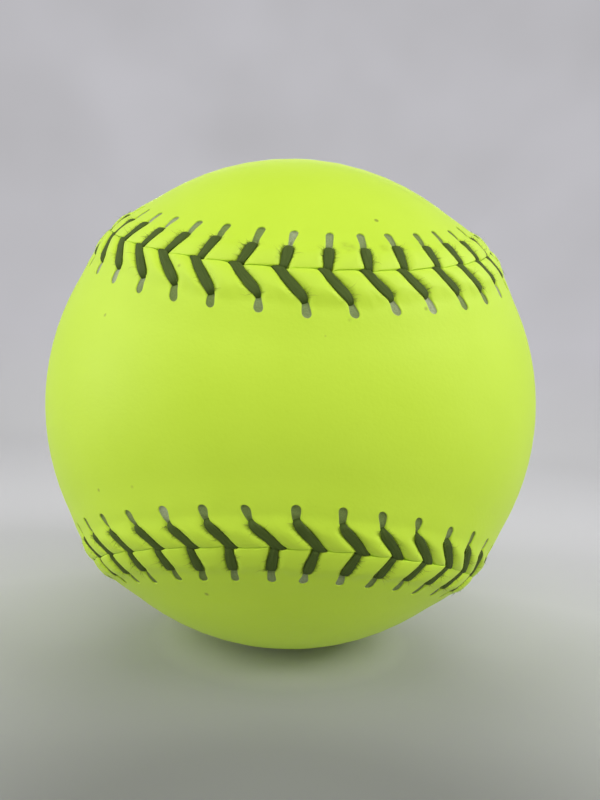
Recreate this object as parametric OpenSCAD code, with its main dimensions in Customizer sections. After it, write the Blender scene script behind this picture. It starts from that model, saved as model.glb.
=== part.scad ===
// Softball: a foam core, a coat of cement, two figure-8 cover panels and the two runs of thread
// that lace them together. The origin is the centre of the ball. The front panel's waist faces -Y
// and its lobes wrap round to +X and -X. The back panel's waist faces +Y, its lobes cover +Z and -Z.

/* [Ball] */
// Diameter of the ball over the smooth middle of a panel
ball_d = 97; // [88:0.5:106]
// Thickness of the synthetic leather
cover_t = 2; // [1.6:0.1:2.6]
// Thickness of the cement between the cover and the core
cement_t = 0.25; // [0.15:0.05:0.5]

/* [Seam] */
// Narrowest width of a panel, from seam to seam over the ball
waist_w = 39.4; // [36:0.1:45]
// Share of the seam's wave that swings it out round the lobes
lobe_share = 0.33; // [0.3:0.005:0.35]
// Crack between the edges of the two panels
crack_w = 0.3; // [0.2:0.05:0.5]
// Width of the raised band on each side of the seam
band_w = 10; // [9:0.25:12]
// Height by which the leather swells between two stitches
lip_puff = 0.5; // [0.2:0.05:0.7]
// Depth by which a panel's edge rolls down into the crack
lip_roll = 0.6; // [0.3:0.05:0.9]
// Width of the rolled edge
lip_roll_w = 1; // [0.7:0.1:1.4]

/* [Lacing] */
// Number of stitches round the ball
stitch_count = 88; // [76:2:96]
// Width of the flat thread in the middle of a stitch
thread_w = 1.55; // [1.2:0.05:1.7]
// Width of the thread where it is drawn through the leather
thread_neck_w = 1; // [0.8:0.05:1.05]
// Thickness of the thread
thread_t = 0.6; // [0.5:0.05:0.7]
// Space kept between the thread and the leather
thread_gap = 0.08; // [0.05:0.01:0.15]
// How far a front panel's hole lies behind the point of its stitch
front_leg_back = 4.6; // [4:0.1:5.2]
// How far a front panel's hole lies from the crack
front_leg_out = 4.8; // [4.5:0.1:5.5]
// How far a back panel's hole lies behind the point of its stitch
back_leg_back = 2.8; // [2.4:0.1:3.4]
// How far a back panel's hole lies from the crack
back_leg_out = 3.8; // [3.4:0.1:4.4]
// How far behind the point the back panel's leg goes down into the crack
back_dive = 1.6; // [1.4:0.05:1.8]
// Length of a punched hole, drawn out by the pull of the thread
hole_l = 3.2; // [2.6:0.1:3.6]
// Width of a punched hole
hole_w = 1.25; // [1.2:0.05:1.5]

/* [Hidden] */

// Facets of the round pieces
round_steps = 128;
// Space between the coat of cement and the corners of a panel's flats
coat_gap = 0.3;
// Space between the coat of cement and the corners of the thread that lies on it in straight stretches
under_gap = 0.16;
// Length that a cutter runs past what it cuts
overrun = 0.5;

// Radii, from the outside in
ball_r = ball_d / 2;
cover_in_r = ball_r - cover_t;
coat_r = cover_in_r - coat_gap;
core_r = coat_r - cement_t;

// The thread that passes under the leather lifts the panels beside the seam
seam_lift = thread_t + 2 * thread_gap;
lip_r = ball_r + seam_lift;
lip_in_r = cover_in_r + seam_lift;
under_r = coat_r + under_gap + thread_t / 2;
leg_r = lip_r + thread_gap + thread_t / 2;

// Share of a stitch from the start of the seam to the point of the first stitch
first_stitch_share = 0.85;
// Share of a stitch by which a hand-sewn seam runs early or late, and the seam's share where it is latest
drift_share = 0.11;
latest_share = 0.625;
// Shares of the lift and of the swell that are left halfway down the raised band
half_lift_share = 0.35;
half_puff_share = 0.25;
// Share of the swell at the holes
hole_puff_share = 0.8;
// Share of the way beneath the leather, from the crack to the next hole, that a tucked end reaches
tuck_share = 0.4;
// Shares of the way from the raised band to a panel's middle line, for the rings of its smooth part
ring_shares = [0.25, 0.5, 0.75, 0.97];
// Angle that a panel's middle line reaches to each side of its waist, in degrees
middle_reach = 105;
// Shares of the way round the seam where each panel's lobes have their tips
front_tip_share = 0.375;
back_tip_share = 0.125;

function unit(v) = v / norm(v);
function arc_angle(length) = length / ball_r * 180 / PI;

// The seam is a wave round the ball: two half turns, each with a swing to both sides
waist_angle = arc_angle(waist_w / 2);
wave_depth = (1 - 2 * lobe_share) / tan(waist_angle);
function seam_dir(turn) =
    let (p = (1 - lobe_share) * cos(turn) + lobe_share * cos(3 * turn),
         q = (1 - lobe_share) * sin(turn) - lobe_share * sin(3 * turn))
    unit([(p - q) / sqrt(2), -wave_depth * sin(2 * turn), (p + q) / sqrt(2)]);

// Length along the seam against the turn, to place the stitches at even lengths
seam_steps = 720;
step_turn = 360 / seam_steps;
step_l = [for (i = [0:seam_steps - 1])
    ball_r * norm(seam_dir((i + 1) * step_turn) - seam_dir(i * step_turn))];
seam_table = [for (i = 0, s = 0; i <= seam_steps; s = i < seam_steps ? s + step_l[i] : s, i = i + 1)
    [s, i * step_turn]];
seam_l = seam_table[seam_steps][0];
pitch = seam_l / stitch_count;

function turn_at(s) = lookup(s - floor(s / seam_l) * seam_l, seam_table);
function stitch_at(k) =
    pitch * (k + first_stitch_share + drift_share * cos(360 * (k / stitch_count - latest_share)));

// Directions at a place s along the seam and out to its side: along the seam, out, and up from the ball
function frame_at(s, out) =
    let (turn = turn_at(s),
         up = seam_dir(turn),
         along = unit(seam_dir(turn + step_turn) - seam_dir(turn - step_turn)),
         side = cross(up, along),
         w = arc_angle(out))
    [along, cos(w) * side - sin(w) * up, cos(w) * up + sin(w) * side];
function place_at(s, out, r) = r * frame_at(s, out)[2];

// The front panel lies to the positive side of the seam, the back panel to the negative side
FRONT = 1;
BACK = -1;
function leg_out(side) = side == FRONT ? front_leg_out : back_leg_out;
function leg_back(side, out) =
    let (reach = min(out / leg_out(side), 1))
    side == FRONT ? front_leg_back * reach : back_dive + (back_leg_back - back_dive) * reach;
function hole_s(side, k) = stitch_at(k) - leg_back(side, leg_out(side));
function hole_near(side) = leg_out(side) - thread_neck_w / 2 - thread_gap;

// Faces between two closed rows of n points, and between a row of 2n points and a row of n
function next(j, n) = (j + 1) % n;
function strip(a, b, n) =
    [for (j = [0:n - 1]) each [[a + j, b + j, b + next(j, n)], [a + j, b + next(j, n), a + next(j, n)]]];
function halving(a, b, n) =
    [for (j = [0:n - 1])
        let (left = a + 2 * j, middle = left + 1, right = a + (2 * j + 2) % (2 * n))
        each [[left, b + j, middle], [middle, b + j, b + next(j, n)], [middle, b + next(j, n), right]]];
// Faces that close a row of n points by joining it across from the point at the tip
function closing(a, tip, n) =
    let (half = floor(n / 2))
    [for (i = [0:half - 1])
        let (p = a + (tip + i) % n,
             p_next = a + (tip + i + 1) % n,
             q = a + (tip + n - i) % n,
             q_next = a + (tip + n - i - 1) % n)
        each concat(i == 0 ? [] : [[q, p, p_next]], i == half - 1 ? [] : [[q, p_next, q_next]])];
function turned(faces, side) = [for (f = faces) side == FRONT ? f : [f[2], f[1], f[0]]];

// A row of the raised band: points under the legs, and halfway between them if it swells there
function band_row(side, out, r) =
    [for (k = [0:stitch_count - 1]) place_at(stitch_at(k) - leg_back(side, out), side * out, r)];
function swelling_row(side, out, r, swell) =
    [for (k = [0:stitch_count - 1])
        let (s = stitch_at(k) - leg_back(side, out))
        each [place_at(s, side * out, r), place_at(s + pitch / 2, side * out, r + swell)]];
// A ring of the smooth part, a share of the way from the band to the panel's middle line
function middle_dir(side, v) =
    let (turn = side == FRONT ? atan2(v[0], -v[1]) : atan2(v[2], v[1]),
         held = max(-middle_reach, min(middle_reach, turn)))
    side == FRONT ? [sin(held), -cos(held), 0] : [0, cos(held), sin(held)];
function smooth_ring(side, share, r) =
    [for (k = [0:stitch_count - 1])
        let (edge = frame_at(k * pitch, side * band_w)[2])
        r * unit((1 - share) * edge + share * middle_dir(side, edge))];

module panel_shell(side) {
    n = stitch_count;
    rings = len(ring_shares);
    roll_out = crack_w / 2 + lip_roll_w;
    half_out = (leg_out(side) + band_w) / 2;
    under_out = leg_out(side) + thread_neck_w / 2 + thread_gap;
    tip = round(n * (side == FRONT ? front_tip_share : back_tip_share));
    outer = concat(
        swelling_row(side, crack_w / 2, lip_r - lip_roll, 0),
        swelling_row(side, roll_out, lip_r, lip_puff),
        swelling_row(side, leg_out(side), lip_r, hole_puff_share * lip_puff),
        swelling_row(side, half_out, ball_r + half_lift_share * seam_lift, half_puff_share * lip_puff),
        swelling_row(side, band_w, ball_r, 0),
        [for (share = ring_shares) each smooth_ring(side, share, ball_r)]);
    inner = concat(
        band_row(side, crack_w / 2, lip_in_r),
        band_row(side, under_out, lip_in_r),
        band_row(side, band_w, cover_in_r),
        [for (share = ring_shares) each smooth_ring(side, share, cover_in_r)]);
    band_rows = 5;
    inner_rows = 3;
    first_ring = band_rows * 2 * n;
    first_inner = len(outer);
    outer_faces = concat(
        [for (i = [0:band_rows - 2]) each strip(2 * n * i, 2 * n * (i + 1), 2 * n)],
        halving(2 * n * (band_rows - 1), first_ring, n),
        [for (i = [0:rings - 2]) each strip(first_ring + n * i, first_ring + n * (i + 1), n)],
        closing(first_ring + n * (rings - 1), tip, n));
    inner_faces = concat(
        [for (i = [0:inner_rows + rings - 2]) each strip(first_inner + n * i, first_inner + n * (i + 1), n)],
        closing(first_inner + n * (inner_rows + rings - 1), tip, n));
    polyhedron(concat(outer, inner), concat(
        turned(outer_faces, side),
        turned(halving(0, first_inner, n), -side),
        turned(inner_faces, -side)), convexity = 4);
}

// A round-ended prism that stands on the ball, with its length along the first of its two directions
module slot_cutter(frame, length, width, steps = 4) {
    low_r = cover_in_r - overrun;
    high_r = lip_r + lip_puff + overrun;
    straight = (length - width) / 2;
    outline = [for (end = [0, 1]) each [for (i = [0:steps])
        let (a = 180 * (end + i / steps) - 90)
        [(1 - 2 * end) * straight + width / 2 * cos(a), width / 2 * sin(a)]]];
    multmatrix([for (row = [0:2]) [for (axis = frame) axis[row]]])
        translate([0, 0, low_r]) linear_extrude(high_r - low_r) polygon(outline);
}

// A punched lacing hole of a panel, and the throat where both runs go down at a stitch's point
module hole_cutter(side, k) {
    f = frame_at(hole_s(side, k), side * (hole_near(side) + hole_l / 2));
    slot_cutter([f[1], cross(f[2], f[1]), f[2]], hole_l, hole_w);
}
module throat_cutter(k) {
    throat_w = thread_neck_w + 2 * thread_gap;
    f = frame_at(stitch_at(k) - back_dive / 2, 0);
    slot_cutter(f, back_dive + throat_w, throat_w);
}

module panel(side) {
    difference() {
        panel_shell(side);
        for (k = [0:stitch_count - 1]) {
            hole_cutter(side, k);
            throat_cutter(k);
        }
    }
}

// Rings of four points along a run of thread: a place, half its width and half its thickness
function ring(s, out, r, wide, thick, w = thread_neck_w) =
    let (f = frame_at(s, out),
         at = r * f[2],
         half_w = w / 2 * (wide[0] * f[0] + wide[1] * f[1]),
         half_t = thread_t / 2 * (thick[0] * f[0] + thick[1] * f[1] + thick[2] * f[2]))
    [at + half_w, at + half_t, at - half_w, at - half_t];

// One stitch of a run: up through the hole, over the leather to the crack, down, and on beneath
function dive_s(side, k) = stitch_at(k) - (side == FRONT ? 0 : back_dive);
function stitch_rings(side, k) =
    let (s_hole = hole_s(side, k),
         s_dive = dive_s(side, k),
         out = side * leg_out(side),
         end_out = side * crack_w / 2,
         leg = unit([s_dive - s_hole, -out]),
         across = [-leg[1], leg[0]],
         lean = end_out * leg[0] / leg[1])
    [ring(s_hole, out, under_r, [0, 1], [-1, 0, 1]),
     ring(s_hole, out, leg_r, across, [-leg[0], -leg[1], 1]),
     ring((s_hole + s_dive) / 2, out / 2, leg_r, across, [0, 0, 1], thread_w),
     ring(s_dive + lean, end_out, leg_r, across, [leg[0], leg[1], 1]),
     ring(s_dive, 0, under_r, [side, 0], [0, -side, 1])];

// A ring where a run starts or ends, part of the way beneath the other panel to its next hole
function tucked_ring(side, k, share) =
    ring((1 - share) * dive_s(side, k) + share * hole_s(-side, k + 1), -share * side * leg_out(-side),
        under_r, unit([side, 1]), [0, 0, 1]);

module thread_run(first_side) {
    last = stitch_count - 1;
    rings = concat(
        [tucked_ring(-first_side, -1, 1 - tuck_share)],
        [for (k = [0:last]) each stitch_rings(k % 2 == 0 ? first_side : -first_side, k)],
        [tucked_ring(last % 2 == 0 ? first_side : -first_side, last, tuck_share)]);
    n = len(rings);
    sides = 4;
    polyhedron([for (r = rings) each r], concat(
        [[0, 1, 2], [0, 2, 3]],
        [for (i = [0:n - 2]) each [for (j = [0:sides - 1])
            let (a = i * sides + j, b = i * sides + next(j, sides))
            each [[a, a + sides, b + sides], [a, b + sides, b]]]],
        [[(n - 1) * sides, (n - 1) * sides + 2, (n - 1) * sides + 1],
         [(n - 1) * sides, (n - 1) * sides + 3, (n - 1) * sides + 2]]), convexity = 4);
}

module core() {
    color("ivory") sphere(core_r, $fn = round_steps);
}
module cement_coat() {
    color("peru") difference() {
        sphere(coat_r, $fn = round_steps);
        sphere(core_r, $fn = round_steps);
    }
}
module front_panel() {
    color([0.82, 0.95, 0.2]) panel(FRONT);
}
module back_panel() {
    color([0.78, 0.92, 0.18]) panel(BACK);
}
module first_needle_thread() {
    color([0.2, 0.24, 0.16]) thread_run(FRONT);
}
module second_needle_thread() {
    color([0.24, 0.28, 0.2]) thread_run(BACK);
}

core();
cement_coat();
front_panel();
back_panel();
first_needle_thread();
second_needle_thread();
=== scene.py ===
# %% [markdown]
# # A laced softball
# The ball is a foam core in a thin coat of cement, with two figure-8 panels of synthetic leather
# round it. Two runs of thread lace the panels together in a herringbone seam of 88 stitches.
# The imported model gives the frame. This lesson dresses it: it makes the leather with its pillows
# and punched holes, the thread with its strands and fuzz, the finishes and a small studio.

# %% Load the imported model
import math

import bpy
import numpy as np
from mathutils import Matrix, Vector


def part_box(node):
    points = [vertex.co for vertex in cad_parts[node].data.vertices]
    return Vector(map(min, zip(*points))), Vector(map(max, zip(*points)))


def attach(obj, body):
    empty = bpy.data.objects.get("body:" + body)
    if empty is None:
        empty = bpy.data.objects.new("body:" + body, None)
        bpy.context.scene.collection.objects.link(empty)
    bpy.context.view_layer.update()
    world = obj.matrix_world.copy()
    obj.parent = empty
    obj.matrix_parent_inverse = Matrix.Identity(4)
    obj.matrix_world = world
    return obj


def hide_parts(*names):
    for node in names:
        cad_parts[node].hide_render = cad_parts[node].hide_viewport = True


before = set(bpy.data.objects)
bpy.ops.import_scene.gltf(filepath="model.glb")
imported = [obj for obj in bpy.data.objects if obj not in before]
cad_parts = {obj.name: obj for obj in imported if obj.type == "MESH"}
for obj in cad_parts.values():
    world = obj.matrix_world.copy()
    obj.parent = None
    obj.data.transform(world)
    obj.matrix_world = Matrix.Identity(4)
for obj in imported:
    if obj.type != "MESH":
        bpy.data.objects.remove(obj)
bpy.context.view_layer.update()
# The lesson counts in millimetres and Blender in metres
MM = 0.001
BALL_R = -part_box("front_panel")[0].y / MM
print("nodes:", sorted(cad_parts))
print("ball radius, mm:", round(BALL_R, 3))

# %% [markdown]
# ## The seam as a curve
# Everything on a ball like this follows its seam, so the seam comes first. It could be drawn by
# hand as a loop of points, but a wave with two swings to each side gives the real curve exactly:
# one share sets how round the lobes are, and the width of the waist sets how deep the wave is.
# A table of length against turn then lets stitches be placed at even lengths.

# %% The seam curve
# Share of the wave that swings it out round the lobes, and the narrowest width of a panel
LOBE_SHARE = 0.33
WAIST_W = 39.4
WAVE_DEPTH = (1 - 2 * LOBE_SHARE) / math.tan(WAIST_W / 2 / BALL_R)
SEAM_STEPS = 7200


def unit(v):
    return v / np.linalg.norm(v, axis=-1, keepdims=True)


def seam_dir(turn):
    """Direction from the ball's centre to the seam, at a turn of its wave."""
    p = (1 - LOBE_SHARE) * np.cos(turn) + LOBE_SHARE * np.cos(3 * turn)
    q = (1 - LOBE_SHARE) * np.sin(turn) - LOBE_SHARE * np.sin(3 * turn)
    depth = -WAVE_DEPTH * np.sin(2 * turn)
    return unit(np.stack([(p - q) / math.sqrt(2), depth, (p + q) / math.sqrt(2)], -1))


seam_turns = np.linspace(0, 2 * math.pi, SEAM_STEPS + 1)
seam_chords = np.linalg.norm(np.diff(seam_dir(seam_turns), axis=0), axis=1)
seam_lengths = BALL_R * np.concatenate([[0], np.cumsum(seam_chords)])
SEAM_L = seam_lengths[-1]
print("seam length, mm:", round(SEAM_L, 2))

# %% [markdown]
# ## The points of the stitches
# Each stitch has its point in the crack, where the thread goes down. A hand-sewn seam runs a little
# early here and late there, and no two stitches are the same, so the points follow a slow wave and
# small seeded differences.

# %% Points along the seam
STITCHES = 88
PITCH = SEAM_L / STITCHES
# In stitches: where the first point is, and how far the slow wave moves a point
FIRST_SHARE, DRIFT_SHARE = 0.85, 0.07
# Share of the seam where the points run latest
LATEST_SHARE = 0.625
POINT_SPREAD = 0.14
numbers = np.arange(STITCHES)
rng = np.random.default_rng(88)


def differences(spread):
    """A small difference for each stitch, of no more than twice the spread."""
    return np.clip(rng.normal(0, spread, STITCHES), -2 * spread, 2 * spread)


waves = np.cos(2 * math.pi * (numbers / STITCHES - LATEST_SHARE))
points_s = PITCH * (numbers + FIRST_SHARE + DRIFT_SHARE * waves) + differences(POINT_SPREAD)
print("pitch, mm:", round(PITCH, 3))

# %% [markdown]
# ## Places beside the seam
# A place on the cover is given by s, the length along the seam, and out, the distance to its side.
# The front panel lies on the positive side and the back panel on the negative one. On a ball,
# lines beside a curve draw together on its inner side, so stretch() says how long a millimetre of
# s really is out there. Widths are divided by it, and then a hole is as wide on a lobe as at
# the waist. The crack itself isn't a smooth line: each leg pulls it over to its own side, so it
# runs in a gentle zigzag that fades out under the legs.

# %% From seam lengths to places
FRONT = 1
BACK = -1
# Small steps for measuring directions and slopes: a turn of the wave, and a length
TINY_TURN = 1e-4
NUDGE = 0.05
# How far behind each point, and how far to the side
ZIGZAG = ((0.0, 0.04), (1.1, -0.26), (2.3, 0.26))
# Distance from the crack at which the zigzag has faded out
ZIGZAG_REACH = 2.4
zigzag_s = np.concatenate([points_s - behind for behind, out in ZIGZAG])
zigzag_out = np.concatenate([np.full(STITCHES, out) for behind, out in ZIGZAG])


def smooth(t):
    """A step from 0 to 1 that starts and ends level."""
    t = np.clip(t, 0, 1)
    return t * t * (3 - 2 * t)


def seam_frame(s):
    """Directions along the seam, to its positive side and up from the ball."""
    turn = np.interp(np.mod(s, SEAM_L), seam_lengths, seam_turns)
    up = seam_dir(turn)
    along = unit(seam_dir(turn + TINY_TURN) - seam_dir(turn - TINY_TURN))
    return along, np.cross(up, along), up


def place(s, out, height):
    side, up = seam_frame(s)[1:]
    pulled = np.interp(s, zigzag_s, zigzag_out, period=SEAM_L) * (1 - smooth(np.abs(out) / ZIGZAG_REACH))
    angle = ((out + pulled) / BALL_R)[..., None]
    return (np.cos(angle) * up + np.sin(angle) * side) * (BALL_R + height)[..., None]


def stretch(s, out):
    flat = np.zeros_like(s + out)
    ahead, behind = place(s + NUDGE + flat, out + flat, flat), place(s - NUDGE + flat, out + flat, flat)
    return np.linalg.norm(ahead - behind, axis=-1) / (2 * NUDGE)


PAST_HOLES = 8.0
measured = stretch(points_s, np.full(STITCHES, PAST_HOLES))
print("a millimetre of s is, past the holes:", measured.min().round(2), "to", measured.max().round(2))

# %% [markdown]
# ## The legs of a stitch
# A long leg from the front panel reaches the stitch's point, and a shorter one from the back panel
# joins it a little behind. The lacing draws the panels along each other, so a hole lags further
# behind its point at one end of each waist than at the other: that is the sway. Copies of one
# stitch would look printed, so each hole, its far end and each pillow differ a little.

# %% Leg sizes and their small differences
# How high the pillows stand beside the legs
PUFF = 0.66
# Where a leg reaches the crack behind the stitch's point, how far back its hole is and how much that
# sways, how far out the hole and its far end are and how much those differ along the seam, how
# much the hole leans on, half its widths at its far end and at the leg, the leg's whole width, and
# the share of that width which is left at the crack
LEGS = {
    FRONT: dict(dive=1.1, back=4.6, sway=1.3, out=4.55, tip=7.0, closer=(0.23, 0.17), lean=0.18,
                width=0.72, neck=0.58, leg=1.50, root=0.90),
    BACK: dict(dive=1.75, back=2.2, sway=1.0, out=4.3, tip=6.9, closer=(0.0, 0.24), lean=0.06,
               width=0.66, neck=0.55, leg=1.56, root=0.70),
}
# Spread of each size's small differences. The one for puff is a share of it
SPREADS = dict(dive=0.08, back=0.14, out=0.14, tip=0.16, lean=0.09, width=0.03, neck=0.03, puff=0.12)
# How far the thread draws the tightest neck together, and a power that keeps such necks few
DRAWN, FEW_DRAWN = 0.3, 3
# How many times the holes sway to and fro on the way round
SWAYS = 4
sways = np.sin(SWAYS * (2 * math.pi * points_s / SEAM_L - math.pi / 4))
stitches = {}
for side, leg in LEGS.items():
    stitches[side] = dict(
        dive=leg["dive"] + differences(SPREADS["dive"]),
        back=leg["back"] + leg["sway"] * sways + differences(SPREADS["back"]),
        out=leg["out"] - leg["closer"][0] * waves + differences(SPREADS["out"]),
        tip=leg["tip"] - leg["closer"][1] * waves + differences(SPREADS["tip"]),
        lean=leg["lean"] + differences(SPREADS["lean"]),
        width=leg["width"] + differences(SPREADS["width"]),
        neck=leg["neck"] - DRAWN * rng.random(STITCHES) ** FEW_DRAWN + differences(SPREADS["neck"]),
        puff=PUFF * (1 + differences(SPREADS["puff"])),
    )
lags = stitches[FRONT]["back"]
print("a front hole lags by", lags.min().round(2), "to", lags.max().round(2))

# %% [markdown]
# A leg is straight over most of its length and bends into the line of its hole at the end. The
# bend is a slope that eases from 1 to the hole's small lean, added up into a table.

# %% The middle line of a leg and its hole
# In lengths of a leg: how far the table goes, where the bend starts and how long it is
LINE_END, BEND_FROM, BEND_L = 3.0, 0.72, 0.42
LINE_STEPS = 600
line_t = np.linspace(0, LINE_END, LINE_STEPS + 1)
line_ease = smooth((line_t - BEND_FROM) / BEND_L)
line_bend = np.concatenate([[0], np.cumsum(1 - line_ease)[:-1]]) * (line_t[1] - line_t[0])
line_lean = np.concatenate([[0], np.cumsum(line_ease)[:-1]]) * (line_t[1] - line_t[0])
BEND_AT_HOLE = np.interp(1, line_t, line_bend)


def middle(side, k, u):
    """s of the middle line of stitch k's leg and hole at a distance u out, on one side."""
    st = stitches[side]
    near = k % STITCHES
    out, dive, back, lean = (st[name][near] for name in ("out", "dive", "back", "lean"))
    t = u / out
    bent = (back - dive) * np.interp(t, line_t, line_bend) / BEND_AT_HOLE
    return points_s[near] + (k - near) * PITCH - dive - bent - lean * out * np.interp(t, line_t, line_lean)


hole_out = stitches[FRONT]["out"][0]
print("the first front hole lies behind its point by", round(points_s[0] - middle(FRONT, 0, hole_out), 2))

# %% [markdown]
# ## How high the leather stands
# The thread that passes beneath lifts both panels beside the seam, and its pull sinks a valley
# under each leg, so the leather swells into a pillow between two stitches. The pillow folds down
# beside the crack, where the edge rolls in. Each leg presses a narrow bed, and where it goes down
# it pulls a throat. This could be sculpted or simulated, but the form is regular: each cause is one
# height, and the heights are added. rounded() is a quarter of a circle, steep at the thread and
# level on top, as padded leather is.

# %% Height of the leather over the ball
CRACK_W = 0.08
# How much the thread beneath lifts the leather, and where from the seam that starts to fade and ends
LIFT, LIFT_FROM, LIFT_TO = 0.55, 3.6, 11.0
# Share of the way out where a leg has its full width, where it starts to narrow and how soon it ends
FULL_AT, NARROW_FROM, NARROW_L = 0.6, 0.74, 0.28
# Length in which a hole widens from its neck
WIDEN_L = 1.2
# Longest and shortest way from a leg's edge to the top of its pillow
BANK, LEAST_BANK = 1.05, 0.3
# Shares of the pillow's side that are rounded and eased
ROUND_SHARE, EASED_SHARE = 0.8, 0.2
# Width of the fold beside the crack, and the share of the pillow's height that it takes away
FOLD, FOLD_DEPTH = 1.4, 0.3
# How far before the hole a pillow starts to sink, and how long it takes
SINK_BEFORE, SINK_L = 1.9, 2.9
# Depth and width of the rounded edge at the crack
ROLL, ROLL_W = 0.05, 0.14
# Depth of the bed under a leg, the width of its side, and how far it runs on into the hole
BED, BED_EDGE, BED_END = 0.14, 0.15, 0.8
# Depth and length of the throat where a leg goes down
THROAT, THROAT_W = 0.6, 0.8


def rounded(t):
    return np.sqrt(1 - (1 - np.clip(t, 0, 1)) ** 2)


def half_width(side, k, u):
    """Half the width of what lies on the middle line: the thread, then its hole."""
    st = stitches[side]
    near = k % STITCHES
    out, neck, wide = st["out"][near], st["neck"][near], st["width"][near]
    share = u / out
    root = LEGS[side]["root"]
    full = LEGS[side]["leg"] / 2 * (root + (1 - root) * smooth(share / FULL_AT))
    thread = full + (neck - full) * smooth((share - NARROW_FROM) / NARROW_L)
    return thread + (wide - neck) * smooth((u - out) / WIDEN_L)


def beside(side, k, s, u):
    """How far a place is from the edge of the thread or hole of stitch k, and how far it could be."""
    slope = (middle(side, k, u + NUDGE) - middle(side, k, u)) / NUDGE
    grow = stretch(s, side * u)
    straight = grow / np.sqrt(1 + (slope * grow) ** 2)
    half = half_width(side, k, u)
    return np.abs(s - middle(side, k, u)) * straight - half, PITCH / 2 * straight - half


def lifted(u):
    return LIFT * (1 - smooth((u - LIFT_FROM) / (LIFT_TO - LIFT_FROM)))


def leather_height(side, k, s, u):
    st = stitches[side]
    near = k % STITCHES
    out = st["out"][near]
    puff = np.where(s < middle(side, k, u), st["puff"][near - 1], st["puff"][near])
    gap, room = beside(side, k, s, u)
    across = np.clip(gap / np.clip(room, LEAST_BANK, BANK), 0, 1)
    pillow = ROUND_SHARE * rounded(across) + EASED_SHARE * smooth(across)
    fold = 1 - FOLD_DEPTH * (1 - np.clip((u - CRACK_W / 2) / FOLD, 0, 1)) ** 2
    pillow = pillow * fold * (1 - smooth((u - out + SINK_BEFORE) / SINK_L))
    roll = ROLL * (1 - rounded((u - CRACK_W / 2) / ROLL_W))
    under = 1 - smooth(gap / BED_EDGE)
    bed = BED * under * (1 - smooth((u - out) / BED_END))
    throat = THROAT * under * (1 - smooth((u - CRACK_W / 2) / THROAT_W))
    return lifted(u) + puff * pillow - roll - bed - throat


on_pillows = leather_height(FRONT, numbers, points_s, hole_out / 2)
print("highest pillow found, mm over the ball:", round(float(on_pillows.max()), 2))

# %% [markdown]
# ## One panel as a closed mesh
# A punched hole needs a crisp round outline. Cutting 88 holes with a boolean would leave ragged
# triangles and dents in the shading, so the mesh is laid out for the holes instead: rows run
# along the seam, their columns follow each leg, and round each hole the faces form rings, from its
# outline out to a block's straight sides. Neighbours share their points, so nothing has to be
# welded afterwards. Away from the seam, rows with half as many points take over.

# %% Rows, rings and the faces between them
class Shell:
    """Points, how much of the felt shows at each, and the faces of one closed mesh."""

    def __init__(self):
        self.points, self.felt, self.faces, self.count = [], [], [], 0

    def add(self, points, felt=0.0):
        """Adds points and gives back their numbers."""
        flat = points.reshape(-1, 3)
        self.points.append(flat)
        self.felt.append(np.full(len(flat), felt))
        first, self.count = self.count, self.count + len(flat)
        return np.arange(first, self.count).reshape(points.shape[:-1])

    def link(self, low, high):
        """Faces between two closed rows, where one may have half as many points as the other."""
        low_next, high_next = np.roll(low, -1, -1), np.roll(high, -1, -1)
        if low.shape[-1] == high.shape[-1]:
            self.faces += np.stack([low, low_next, high_next, high], -1).reshape(-1, 4).tolist()
        elif low.shape[-1] == 2 * high.shape[-1]:
            left, mid, right = low[0::2], low[1::2], np.roll(low, -2)[0::2]
            self.faces += np.stack([left, mid, high], -1).tolist()
            self.faces += np.stack([mid, right, high_next, high], -1).tolist()
        else:
            left, mid, right = high[0::2], high[1::2], np.roll(high, -2)[0::2]
            self.faces += np.stack([low, mid, left], -1).tolist()
            self.faces += np.stack([low, low_next, right, mid], -1).tolist()

    def close(self, ring, tip, inward=False):
        """Closes a long ring by joining it across, starting from the point at its tip."""
        n = ring.shape[-1]
        half = n // 2
        for i in range(half):
            right, right_next = ring[..., (tip + i) % n], ring[..., (tip + i + 1) % n]
            left, left_next = ring[..., (tip - i) % n], ring[..., (tip - i - 1) % n]
            corners = [right, right_next, left_next, left]
            if i == 0:
                corners = [right, right_next, left_next]
            elif i == half - 1:
                corners = [right, right_next, left]
            faces = np.stack(corners, -1).reshape(-1, len(corners))
            self.faces += (faces[:, ::-1] if inward else faces).tolist()

    def mesh(self, name, flip=False):
        made = bpy.data.meshes.new(name)
        faces = [face[::-1] for face in self.faces] if flip else self.faces
        made.from_pydata((np.concatenate(self.points) * MM).tolist(), [], faces)
        made.attributes.new("felt", "FLOAT", "POINT").data.foreach_set("value", np.concatenate(self.felt))
        made.shade_smooth()
        return made


# %% [markdown]
# Each row has 16 columns to a stitch. They crowd at the thread's edges, where the leather turns
# steeply, and are wide on the pillow.

# %% Columns of a row
# Shares of the way from the thread's middle to its edge, and on from there to halfway between two legs
EDGE_SHARES = (0, 0.5, 0.94)
BANK_SHARES = (0.03, 0.10, 0.22, 0.38, 0.60, 1)
# Share of a cell that the thread may take up
EDGE_LIMIT = 0.6
cells = numbers[:, None]


def level(u):
    """One distance out for all stitches."""
    return np.full((STITCHES, 1), float(u))


def boundary(side, k, u):
    """s halfway between the middle lines of stitches k - 1 and k."""
    return (middle(side, k, u) + middle(side, k - 1, u)) / 2


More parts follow.
